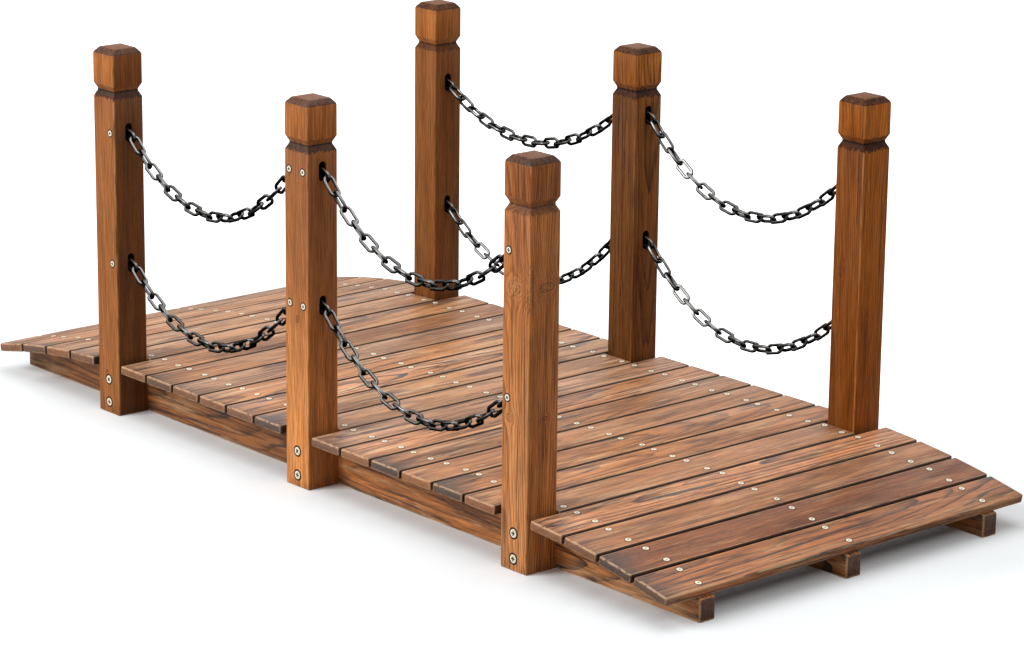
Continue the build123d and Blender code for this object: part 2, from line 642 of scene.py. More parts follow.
class TimberFinish(Surface):
    """Wires the material of one timber, layer over layer."""

    def __init__(self, timber: Timber) -> None:
        """Start the material and find the place on the timber and its distances from the faces.

        Args:
            timber: The timber.
        """
        super().__init__(timber.name + "_timber")
        self.timber, self.stain = timber, timber.stain
        location, rotation, _ = timber.place.decompose()
        inputs = {"Vector": self.coords, "Location": location, "Rotation": rotation.to_euler()}
        self.local = self.lay("ShaderNodeMapping", inputs, vector_type="TEXTURE").outputs[0]
        dice = random.Random(timber.seed)
        self.seeded = self.vector("ADD", self.local, tuple(dice.uniform(-40, 40) for _ in range(3)))
        self.across, self.along, depth = self.lay("ShaderNodeSeparateXYZ", {0: self.local}).outputs
        self.side, self.end, self.face = (
            self.math("SUBTRACT", reach, self.math("ABSOLUTE", place))
            for reach, place in zip(timber.half, (self.across, self.along, depth))
        )
        self.fibre, self.broad, self.hair = map(self.own, (Marks.FIBRE, Marks.BROAD, Marks.HAIR))
        self.core = self.pale = 0.0

    def own(self, marks: Marks, output: str = "Fac") -> Socket:
        """Noise of one kind, moved by the timber's seed."""
        return self.noise(self.seeded, marks, output)

    def paint(self, share: Value, layer: Socket | Colour, blend: str = "MIX") -> None:
        """Lay a colour over the last one."""
        self.colour = self.mix(share, self.colour, layer, blend=blend)

    def within(self, value: Socket, low: float, high: float, blur: float) -> Socket:
        """1 between two values and 0 outside them."""
        rise, fall = self.span(value, low - blur, low + blur), self.near(value, high - blur, high + blur)
        return self.times(rise, fall)

    def by_side(self, low: float, high: float) -> Socket:
        """One value on the narrow sides and another between them."""
        return self.span(self.side, 0.0006, 0.0022, low, high)

    def finish(self) -> Material:
        """Lay all the layers.

        Returns:
            The material.
        """
        self.saw()
        self.grow_rings()
        self.soak()
        self.weather()
        self.shade()
        self.paint(self.pale, self.stain.raw)
        self.paint(self.core, self.stain.dark)
        self.edges_and_gap_shade()
        self.dark_band()
        self.crack()
        self.feed("Base Color", self.colour)
        self.feed("Roughness", self.span(self.math("ADD", self.broad, self.fibre), 0.7, 1.3, 0.38, 0.60))
        height = self.math("MULTIPLY_ADD", self.late, -0.5, self.times(self.fibre, 0.6))
        self.feed("Normal", self.bump(height, 0.0008, 0.7))
        self.feed("Specular IOR Level", self.stain.sheen)
        return self.material

    def saw(self) -> None:
        """Find where a place lay in the log, with the grain's wander and its way round the knots."""
        timber, place = self.timber, self.local
        reaches = {
            Marks.LONG_WANDER: 2.6 * self.stain.cathedral, Marks.WANDER: 0.0038, Marks.SHORT_WANDER: 0.0011,
        }
        for marks, reach in reaches.items():
            wander = self.vector("SUBTRACT", self.own(marks, "Color"), (0.5, 0.5, 0.5))
            place = self.vector("ADD", place, self.vector("MULTIPLY", wander, (reach, 0.0, reach)))
        pith = {
            axis: self.math("MULTIPLY_ADD", self.along, tilt, start)
            for axis, tilt, start in zip("XZ", timber.tilt, timber.pith)
        }
        self.place = self.vector("ADD", place, self.lay("ShaderNodeCombineXYZ", pith).outputs[0])
        for knot in timber.knots:
            self.grow(knot)

    def grow(self, knot: Knot) -> None:
        """Mark a knot's rim, its years and the pale wood round it, and push the grain aside.

        Args:
            knot: The knot.
        """
        off = self.vector("SUBTRACT", self.local, (knot.across, knot.along, knot.depth))
        flat = self.vector("MULTIPLY", off, (1.0, knot.slim, 0.8))
        ragged = self.own(Marks.KNOT_RIM)
        reach = self.math("DIVIDE", self.vector("LENGTH", flat), knot.radius)
        reach = self.math("MULTIPLY_ADD", ragged, 0.7, self.math("SUBTRACT", reach, 0.35))
        rim = self.times(
            self.span(reach, 0.6, 0.95), self.near(reach, 1.0, 1.35),
            self.span(ragged, 0.4, 0.55, 0.25 * knot.rim, knot.rim),
        )
        years = self.math("MULTIPLY_ADD", self.math("SINE", self.times(reach, 15.0)), 0.22, 0.28)
        inside = self.math("MAXIMUM", rim, self.times(self.near(reach, 0.9, 1.1), years))
        light = self.times(self.near(reach, 0.6, 1.8), self.span(ragged, 0.4, 0.6, 0.0, knot.pale))
        self.core = self.math("MAXIMUM", self.core, inside)
        self.pale = self.math("MAXIMUM", self.pale, light)
        swirl = self.times(self.near(reach, 0.3, 5.0), -1.9 * knot.radius)
        inputs = {0: self.vector("NORMALIZE", flat), "Scale": swirl}
        push = self.lay("ShaderNodeVectorMath", inputs, operation="SCALE").outputs[0]
        self.place = self.vector("ADD", self.place, push)

    def grow_rings(self) -> None:
        """Find how much late wood the year rings have at a place, and a number for each year."""
        radius = self.vector("LENGTH", self.vector("MULTIPLY", self.place, (1.0, 0.0, 1.0)))
        phase = self.math("DIVIDE", radius, self.stain.ring_pitch)
        ring, inputs = self.math("FRACT", phase), {"W": self.math("FLOOR", phase)}
        self.luck = self.lay("ShaderNodeTexWhiteNoise", inputs, noise_dimensions="1D").outputs["Value"]
        start, end = self.span(self.luck, 0.0, 1.0, 0.25, 0.6), 0.92
        gone, whole = (self.math("SUBTRACT", place, start) for place in (ring, end))
        late = self.math("POWER", self.math("DIVIDE", gone, whole, clamp=True), 1.6)
        self.late = self.times(late, self.near(ring, end, 1.0))

    def soak(self) -> None:
        """Lay the figure of the wood, then its soaked, bleached and streaked parts and its fine lines."""
        stain = self.stain
        strong = self.span(self.own(Marks.CLOUD), 0.3, 0.62, 0.55, 1.0)
        self.colour = self.mix(self.times(self.late, strong, stain.ring_depth), stain.early, stain.late)
        for noise, start, end, depth, layer in (
            (self.broad, 0.45, 0.68, stain.soak, stain.soaked),
            (self.own(Marks.BLEACH), 0.50, 0.66, stain.bleach, stain.raw),
            (self.own(Marks.STREAK), 0.52, 0.64, stain.streaks, stain.dark),
            (self.hair, 0.54, 0.62, stain.line_depth, stain.dark),
        ):
            self.paint(self.span(noise, start, end, 0.0, depth), layer)

    def weather(self) -> None:
        """Lay grey patches, a grey near end and pale flecks."""
        stain, patch = self.stain, self.own(Marks.PATCH)
        late_or_fine = self.span(self.math("ADD", self.late, self.hair), 0.55, 0.95)
        self.paint(self.times(self.span(patch, 0.52, 0.64), late_or_fine, stain.grey_share), stain.grey)
        ragged = self.math("MULTIPLY_ADD", patch, -0.10, self.timber.half.y + 0.05)
        near_end = self.math("ADD", self.along, ragged)
        self.paint(self.near(near_end, 0.0, 0.06, 0.0, self.timber.end_grey * stain.end_share), stain.grey)
        self.paint(self.span(self.own(Marks.FLECK), 0.62, 0.70, 0.0, stain.flecks), stain.raw)

    def shade(self) -> None:
        """Tone the fibres, the years and the timber as a whole; tone its narrow sides, partly as painted
        light and shade; and tint it along its length, which at the posts' feet is painted light and shade.
        """
        tone = self.stain.tone
        shade = self.times(
            self.span(self.fibre, 0.28, 0.72, 0.66, 1.31), self.span(self.luck, 0.0, 1.0, 0.9, 1.08),
            # The narrow sides' tone is partly stain and partly painted light and shade.
            self.by_side(tone * self.timber.side_light_and_stain, tone),
        )
        grey = self.lay("ShaderNodeCombineColor", {0: shade, 1: shade, 2: shade}).outputs[0]
        self.paint(1.0, grey, "MULTIPLY")
        for change in self.timber.shades:
            ramp = self.mix(self.span(self.along, change.start, change.end), change.low, change.high)
            self.paint(self.by_side(change.on_sides, 1.0), ramp, "MULTIPLY")

    def edges_and_gap_shade(self) -> None:
        """Lay dark ends, end grain, pale worn edges with a painted highlight, and painted shade on the narrow
        sides in the gaps between boards.
        """
        stain, timber, ragged = self.stain, self.timber, self.own(Marks.WORN)
        side, face, end = (self.math("POWER", gap, 2.0) for gap in (self.side, self.face, self.end))
        arris, end_arris = (
            self.math("SQRT", self.math("ADD", *gaps))
            for gaps in ((side, face), (end, self.math("MINIMUM", side, face)))
        )
        # Pale arris lines: partly worn wood and partly a painted highlight along the rounded edges.
        worn = self.near(self.math("MINIMUM", arris, end_arris), 0.0012, 0.0034)
        highlight_and_wear = self.times(worn, self.span(ragged, 0.36, 0.56), timber.edge_wear_and_highlight)
        stained_end = self.times(self.near(self.end, 0.001, 0.020), self.span(ragged, 0.42, 0.62), 0.5)
        self.paint(stained_end, stain.dark)
        painted_shade_coat = self.span(self.own(Marks.END_GRAIN), 0.40, 0.75, 0.0, 0.6)
        end_grain = self.mix(painted_shade_coat, self.mix(timber.end_grey, stain.bare_end, stain.end), stain.dark)
        self.paint(self.near(self.end, 0.0005, 0.0012, 0.0, 0.85), end_grain)
        if not timber.painted_gap_shade:
            self.paint(highlight_and_wear, stain.raw)
            return
        self.paint(self.times(highlight_and_wear, self.span(self.side, 0.0009, 0.0014)), stain.raw)
        # Painted shade: the narrow sides facing the gaps between boards are darkened, away from the ends.
        gap_shade_mask = self.near(self.side, 0.0009, 0.0016, 0.0, timber.painted_gap_shade)
        self.paint(self.times(gap_shade_mask, self.span(self.end, 0.0005, 0.003)), GAP_SHADE_BROWN)

    def dark_band(self) -> None:
        """Lay the dark bands across the timber; on the posts' necks some of them are painted shade."""
        for dark_band in self.timber.dark_bands:
            teeth = self.math("SUBTRACT", self.own(Marks.TEETH), 0.5)
            along = self.math("MULTIPLY_ADD", teeth, 3 * dark_band.ragged, self.along)
            char = self.mix(self.span(self.hair, 0.42, 0.6), dark_band.brown, dark_band.black)
            self.paint(self.times(self.within(along, dark_band.low, dark_band.high, 0.0005), dark_band.depth), char)

    def crack(self) -> None:
        """Lay the drying cracks, and painted shade inside the chain slots."""
        timber = self.timber
        for check in timber.checks:
            wobble = self.math("MULTIPLY_ADD", self.hair, 0.006, -check.across - 0.003)
            off = self.math("ABSOLUTE", self.math("ADD", self.across, wobble))
            on_face = self.times(self.near(off, 0.0002, 0.0009), self.near(self.face, 0.004, 0.005))
            self.paint(self.times(on_face, self.within(self.along, check.low, check.high, 0.01)), NEAR_BLACK)
        if timber.bore:
            # Painted shade: the walls inside the chain slots are darkened to near black.
            wall = timber.half.z - timber.bore
            inner = self.times(self.span(self.side, 0.0005, 0.004), self.span(self.end, 0.076, 0.080))
            self.paint(self.times(inner, self.span(self.face, wall - 0.001, wall)), NEAR_BLACK)


@dataclass(frozen=True)
class BoardLook:
    """How one board came out: its kind, tone, cast towards blue, and how grey its near end is."""

    kind: Kind
    tone: float
    cast: float
    end_grey: float


@dataclass
class Decking:
    """The cross boards, each with rounded edges and a finish of its own."""

    edge_round: float = 0.0028
    edge_steps: int = 3
    end_play: float = 0.0003
    patterns: dict[float, Piece] = field(default_factory=dict)
    looks: tuple[BoardLook, ...] = (
        BoardLook(Kind.WARM, 0.94, 1.30, 0.4), BoardLook(Kind.PLAIN, 1.02, 1.24, 0.8),
        BoardLook(Kind.WARM, 0.98, 1.14, 0.3), BoardLook(Kind.WARM, 1.06, 1.45, 0.5),
        BoardLook(Kind.PLAIN, 1.22, 1.48, 0.3), BoardLook(Kind.WARM, 1.05, 1.20, 0.35),
        BoardLook(Kind.PLAIN, 0.98, 1.05, 0.8), BoardLook(Kind.GREYED, 0.95, 1.18, 0.4),
        BoardLook(Kind.WARM, 1.10, 1.08, 0.4), BoardLook(Kind.FIGURED, 1.36, 1.38, 0.5),
        BoardLook(Kind.WARM, 1.02, 1.42, 0.95), BoardLook(Kind.PLAIN, 1.16, 1.60, 0.3),
        BoardLook(Kind.GREYED, 1.22, 1.26, 0.6), BoardLook(Kind.FIGURED, 1.37, 1.25, 0.25),
        BoardLook(Kind.WARM, 0.80, 1.14, 1.0), BoardLook(Kind.PLAIN, 1.10, 1.19, 0.0),
        BoardLook(Kind.WARM, 0.97, 0.93, 1.0), BoardLook(Kind.WARM, 1.11, 0.93, 0.2),
        BoardLook(Kind.PLAIN, 0.99, 1.16, 0.4), BoardLook(Kind.FIGURED, 1.30, 1.22, 0.3),
        BoardLook(Kind.PLAIN, 1.08, 1.05, 0.5), BoardLook(Kind.DARK, 0.96, 0.98, 1.0),
        BoardLook(Kind.FIGURED, 0.77, 0.76, 0.8),
    )

    def pattern(self, size: Vector) -> Piece:
        """The shaped board of one size.

        Args:
            size: Its width, length and thickness.

        Returns:
            The board, about the origin.
        """
        key = round(size.y, 4)
        if key not in self.patterns:
            board = block(Vector((size.x, size.y - 2 * self.end_play, size.z)))
            with editing(board, Pick.EDGES):
                bpy.ops.mesh.bevel(offset=self.edge_round, segments=self.edge_steps, affect="EDGES")
            smooth(board, 40)
            self.patterns[key] = board
        return self.patterns[key]

    def build(self) -> None:
        """Lay every board where its node lies and dress it."""
        names = node_names("board_")
        for number, (name, look) in enumerate(zip(names, self.looks), start=1):
            lie = Lie.of(np.concatenate(node_islands(name)))
            board = twin(self.pattern(lie.size), name.replace("board", "deck_board"), lie.place)
            dice = random.Random(number)
            kind = look.kind.value
            tint = (1.0, 0.6 + 0.4 * look.cast, look.cast)
            timber = Timber(
                board.name, lie.place, lie.size / 2,
                stain=replace(kind, tone=kind.tone * look.tone * dice.uniform(0.92, 1.12)),
                pith=(dice.uniform(-0.03, 0.03), dice.uniform(0.02, 0.06)),
                tilt=(dice.uniform(-0.03, 0.03), dice.uniform(0.02, 0.06) * dice.choice((-1, 1))),
                seed=number, shades=(Shade(-1.0, 0.0, tint, tint),), end_grey=look.end_grey,
                # The last board's outer side shows, so it gets no painted gap shade.
                painted_gap_shade=0.0 if name == names[-1] else 0.88,
            )
            dress(board, TimberFinish(timber).finish())
            fit_out(board, "deck_timber", name)
        scrap(*self.patterns.values())


@dataclass
class Stringers:
    """The three long timbers under the deck."""

    bend: float = 0.335
    drop: float = 0.038
    bend_steps: int = 14
    end_round: float = 0.004
    arris: float = 0.0012
    near_dark_bands: tuple[DarkBand, ...] = (DarkBand(-1.0, 0.0, 0.35, 0.0, srgb(96, 72, 58), srgb(34, 24, 20)),)
    near_knots: tuple[Knot, ...] = (Knot(-0.010, 0.255, 0.006, 0.014),)

    def build(self) -> None:
        """Shape each stringer after its node and dress it."""
        for number, side in enumerate(("near", "middle", "far")):
            name = f"stringer_{side}"
            low, high = (Vector(corner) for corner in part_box(name))
            size = high - low
            piece = self.shape(size)
            place = Matrix.Translation((low + high) / 2)
            stringer = twin(piece, f"long_timber_{side}", place)
            scrap(piece)
            timber = Timber(
                stringer.name, place @ Grain.ALONG_WALK.value, Vector((size.y, size.x, size.z)) / 2,
                stain=Kind.STRINGER.value, pith=(0.03, 0.01), tilt=(0.02, 0.02), seed=40 + number,
                dark_bands=self.near_dark_bands if side == "near" else (),
                knots=self.near_knots if side == "near" else (), end_grey=1.0,
            )
            dress(stringer, TimberFinish(timber).finish())
            fit_out(stringer, "stringer_timber", name)

    def shape(self, size: Vector) -> Piece:
        """A stringer about its own middle, bending down to both ends on top.

        Args:
            size: Length, thickness and depth.

        Returns:
            The shaped stringer.
        """
        piece = block(size)
        half = size.x / 2
        radius = (self.bend ** 2 + self.drop ** 2) / (2 * self.drop)
        steps = [self.bend * step / self.bend_steps for step in range(self.bend_steps + 1)]
        for step in steps[:-1]:
            for sign in (-1, 1):
                cut_across(piece, (sign * (half - self.bend + step), 0, 0), (1, 0, 0))
        for step in steps[1:]:
            station = half - self.bend + step
            fall = radius - math.sqrt(radius ** 2 - step ** 2)
            shift(piece, (0, 0, -fall), lambda at: at.z > 0 and abs(abs(at.x) - station) < HAIR)
        with editing(piece, Pick.EDGES, lambda mid, way: abs(way.z) > 0.9 and abs(abs(mid.x) - half) < HAIR):
            bpy.ops.mesh.bevel(offset=self.end_round, segments=4, affect="EDGES")
        angle = math.radians(50)
        finish_modifier(piece, "BEVEL", width=self.arris, segments=2, limit_method="ANGLE", angle_limit=angle)
        smooth(piece, 40)
        return piece


@dataclass(frozen=True)
class PostLook:
    """How one post came out: tones and tints, partly painted light and shade; figure; pale edges, partly
    painted highlight; sheen; neck bands, partly painted shade; colour; knots; cracks.
    """

    tone: float
    side_light_and_stain: float
    foot_light_and_shade: Colour
    head_tone: Colour
    rings: float
    lines: float
    edge_highlight_and_wear: float
    sheen: float
    char: float
    pith: Pair = (0.04, 0.05)
    early: Colour = srgb(190, 114, 52)
    knots: tuple[Knot, ...] = ()
    checks: tuple[Check, ...] = ()


@dataclass
class Posts:
    """The six posts, with necks, bevelled heads and chain slots."""

    head_inset: float = 0.007
    head_bevel: float = 0.008
    head_height: float = 0.045
    neck_depth: float = 0.005
    neck_half: float = 0.010
    arris: float = 0.0020
    slot_width: float = 0.013
    slot_height: float = 0.028
    slot_depth: float = 0.021
    # The far posts (the last three) are toned darker, partly for their stain and partly as painted shade.
    looks: tuple[PostLook, ...] = (
        PostLook(
            tone=0.72, side_light_and_stain=0.47, foot_light_and_shade=(1.25, 1.30, 1.45), head_tone=(1.50, 1.52, 1.60),
            rings=0.4, lines=0.3, edge_highlight_and_wear=0.35, sheen=0.25, char=0.94,
            knots=(Knot(-0.004, -0.217, 0.0035, 0.026),),
        ),
        PostLook(
            tone=0.76, side_light_and_stain=0.95, foot_light_and_shade=(2.55, 2.90, 3.80), head_tone=(1.50, 1.48, 1.35),
            rings=0.4, lines=0.3, edge_highlight_and_wear=0.25, sheen=0.30, char=0.90,
            knots=(Knot(0.002, -0.033, 0.003, 0.026),),
        ),
        PostLook(
            tone=0.90, side_light_and_stain=1.05, foot_light_and_shade=(1.65, 2.00, 2.90), head_tone=(0.86, 0.80, 0.74),
            rings=0.9, lines=0.6, edge_highlight_and_wear=0.45, sheen=0.25, char=0.50, pith=(0.03, 0.05),
            early=srgb(200, 122, 60),
            knots=(
                Knot(-0.004, 0.105, 0.0105, 0.026, 0.75, 1.0, 0.35),
                Knot(0.026, 0.107, 0.0090, -0.0035, 0.2, 1.5, 0.8),
                Knot(-0.010, -0.070, 0.0055, 0.026, 0.5, 1.0, 0.5),
                Knot(0.026, -0.068, 0.004, -0.003, 0.0, 1.3, 0.7),
            ),
        ),
        PostLook(
            tone=0.58, side_light_and_stain=0.80, foot_light_and_shade=(0.88, 0.98, 1.10), head_tone=(1.85, 1.90, 1.95),
            rings=0.4, lines=0.25, edge_highlight_and_wear=0.12, sheen=0.15, char=0.60, early=srgb(196, 120, 57),
        ),
        PostLook(
            tone=0.35, side_light_and_stain=1.25, foot_light_and_shade=(0.80, 0.86, 0.95), head_tone=(2.20, 2.25, 2.40),
            rings=1.0, lines=0.8, edge_highlight_and_wear=0.12, sheen=0.15, char=0.90, pith=(-0.07, 0.004),
            early=srgb(206, 126, 52), checks=(Check(-0.002, 0.03, 0.21),),
        ),
        PostLook(
            tone=0.47, side_light_and_stain=1.72, foot_light_and_shade=(0.95, 1.00, 1.10), head_tone=(1.65, 1.75, 1.85),
            rings=0.6, lines=0.5, edge_highlight_and_wear=0.30, sheen=0.12, char=0.90, early=srgb(200, 112, 36),
            knots=(Knot(-0.008, 0.03, 0.005, 0.026),), checks=(Check(0.017, 0.1, 0.2),),
        ),
    )

    def levels(self, top: float) -> Pair:
        """The middle of the neck and the foot of the head's bevel, for a post that ends at a top."""
        bevel = top - self.head_bevel
        return bevel - self.head_height - self.neck_half, bevel

    def build(self) -> None:
        """Shape and dress the posts."""
        posts = [(side, letter) for side in ("near", "far") for letter in "abc"]
        for number, ((side, letter), look) in enumerate(zip(posts, self.looks)):
            name = f"post_{side}_{letter}"
            low, high = (Vector(corner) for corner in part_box(name))
            size = high - low
            piece = self.shape(size)
            self.cut_slots(piece, number % 3 - 1)
            place = Matrix.Translation(((low.x + high.x) / 2, (low.y + high.y) / 2, 0))
            post = twin(piece, f"{side}_post_{letter}", place)
            scrap(piece)
            half = Vector((size.x / 2, size.z / 2, size.y / 2))
            neck, bevel = self.levels(half.y)
            timber = Timber(
                post.name, place @ Matrix.Translation((0, 0, half.y)) @ Grain.UPRIGHT.value, half,
                stain=replace(
                    Kind.POST.value, tone=look.tone, early=look.early, ring_depth=look.rings,
                    line_depth=look.lines, sheen=look.sheen,
                ),
                pith=look.pith, tilt=(0.02, 0.02), seed=60 + number, knots=look.knots, checks=look.checks,
                dark_bands=(
                    # The band on the neck's upper slope, which faces down, and the black line in the bottom
                    # of the V are painted shade; the band on the lower slope and the one on the head's bevel
                    # are the wood's own dark colour.
                    DarkBand(neck - 0.004, neck + 0.8 * self.neck_half, 0.5 * look.char, 0.003),
                    DarkBand(neck - self.neck_half, neck, look.char, 0.005, srgb(76, 38, 18), srgb(28, 14, 8)),
                    DarkBand(neck - 0.0016, neck + 0.0008, look.char, 0.0, srgb(22, 11, 7), srgb(12, 6, 4)),
                    DarkBand(bevel - 0.0006, half.y - 0.0004, 0.9, 0.0008, srgb(84, 48, 30), srgb(30, 17, 12)),
                ),
                shades=(
                    # Painted light and shade at the foot: paler and bluer on the near posts, a little darker
                    # on the far ones, mostly on the broad faces.
                    Shade(-half.y, 0.5 * half.y, look.foot_light_and_shade, EVEN, 0.3),
                    Shade(neck, neck + 0.001, EVEN, look.head_tone),
                ),
                edge_wear_and_highlight=look.edge_highlight_and_wear, side_light_and_stain=look.side_light_and_stain, bore=self.slot_width / 2,
            )
            dress(post, TimberFinish(timber).finish())
            fit_out(post, "post_timber", name)

    def shape(self, size: Vector) -> Piece:
        """A post standing on the origin, without its slots.

        Args:
            size: Its two sides and its height.

        Returns:
            The post.
        """
        piece = block(size)
        shift(piece, (0, 0, size.z / 2))
        neck, bevel = self.levels(size.z)
        for level in (neck - self.neck_half, neck, neck + self.neck_half, bevel):
            cut_across(piece, (0, 0, level), (0, 0, 1))
        for level, inset in ((neck, self.neck_depth), (size.z, self.head_inset)):
            share = 1 - 2 * inset / size.x
            with editing(piece, Pick.VERTS, lambda at: abs(at.z - level) < HAIR):
                bpy.ops.transform.resize(value=(share, share, 1), center_override=(0, 0, level))
        angle = math.radians(35)
        finish_modifier(piece, "BEVEL", width=self.arris, segments=3, limit_method="ANGLE", angle_limit=angle)
        return piece

    def cut_slots(self, piece: Piece, station: int) -> None:
        """Cut the chain slots of a post.

        Args:
            piece: The post, standing on the origin.
            station: -1, 0 or 1 along the walk.
        """
        half = piece.dimensions.x / 2
        stretch = (self.slot_height - self.slot_width) / 2
        for level in SLOT_LEVELS[station]:
            for way in SLOT_WAYS[station]:
                cutter = primitive(
                    bpy.ops.mesh.primitive_cylinder_add, vertices=22, radius=self.slot_width / 2,
                    depth=2 * self.slot_depth, rotation=(0, math.radians(90), 0),
                )
                shift(cutter, (0, 0, stretch), lambda at: at.z > 0)
                shift(cutter, (0, 0, -stretch), lambda at: at.z < 0)
                shift(cutter, (way * half, 0, level))
                finish_modifier(piece, "BOOLEAN", object=cutter, operation="DIFFERENCE", solver="EXACT")
                scrap(cutter)
        smooth(piece, 35)


@dataclass
class Chains:
    """The chains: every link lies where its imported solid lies."""

    wire: float = 0.005
    wire_sides: int = 6
    bend_sides: int = 16

    def link(self, size: Vector) -> Piece:
        """One link with bent corners, lying along Y.

        Args:
            size: Its outer width, length and thickness.

        Returns:
            The link, about the origin.
        """
        link = primitive(
            bpy.ops.mesh.primitive_torus_add, major_segments=self.bend_sides, minor_segments=self.wire_sides,
            major_radius=(size.x - self.wire) / 2, minor_radius=self.wire / 2,
            rotation=(0, 0, math.radians(180 / self.bend_sides)),
        )
        stretch = (size.y - size.x) / 2
        shift(link, (0, stretch, 0), lambda at: at.y > 0)
        shift(link, (0, -stretch, 0), lambda at: at.y < 0)
        smooth(link, 60)
        return link

    def steel(self) -> Material:
        """Dark plated steel, with a painted highlight on the surfaces that face up.

        Returns:
            The material.
        """
        pad = Surface("chain_plate")
        cloud = pad.noise(pad.coords, Marks.STEEL)
        pits = pad.noise(pad.coords, Marks.PITS)
        rise = pad.lay("ShaderNodeAttribute", {}, attribute_name="rise").outputs["Fac"]
        # Painted highlight: the base colour is lighter where the link faces up, broken by a cloud.
        highlight_and_wear = pad.span(pad.math("MULTIPLY_ADD", cloud, 0.8, rise), 0.22, 1.05)
        pad.feed("Base Color", pad.mix(highlight_and_wear, srgb(32, 32, 33), srgb(114, 113, 111)))
        pad.feed("Metallic", 1.0)
        pad.feed("Specular Tint", (0.04, 0.04, 0.04, 1.0))
        pad.feed("Roughness", pad.span(cloud, 0.35, 0.7, 0.26, 0.38))
        pad.feed("Normal", pad.bump(pits, 0.0002, 0.2))
        return pad.material

    @staticmethod
    def mark_tops(chain: Piece) -> None:
        """Write on each vertex how far the surface there faces up, which places the painted highlight."""
        rise = chain.data.attributes.new("rise", "FLOAT", "POINT")
        rise.data.foreach_set("value", [normal.vector.z for normal in chain.data.vertex_normals])

    def build(self) -> None:
        """Make every chain out of copies of one link."""
        steel = self.steel()
        for side in ("near", "far"):
            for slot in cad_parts[f"chain_screws_{side}"].material_slots:
                slot.material = steel
        pattern = None
        for name in node_names("chain_"):
            lies = [Lie.of(points) for points in node_islands(name)]
            pattern = pattern or self.link(lies[0].size)
            links = [twin(pattern, f"link_{i}", lie.place) for i, lie in enumerate(lies)]
            chain = join(links, name.replace("chain", "link_chain"))
            self.mark_tops(chain)
            dress(chain, steel)
            fit_out(chain, "chain_steel", name)
        scrap(pattern)


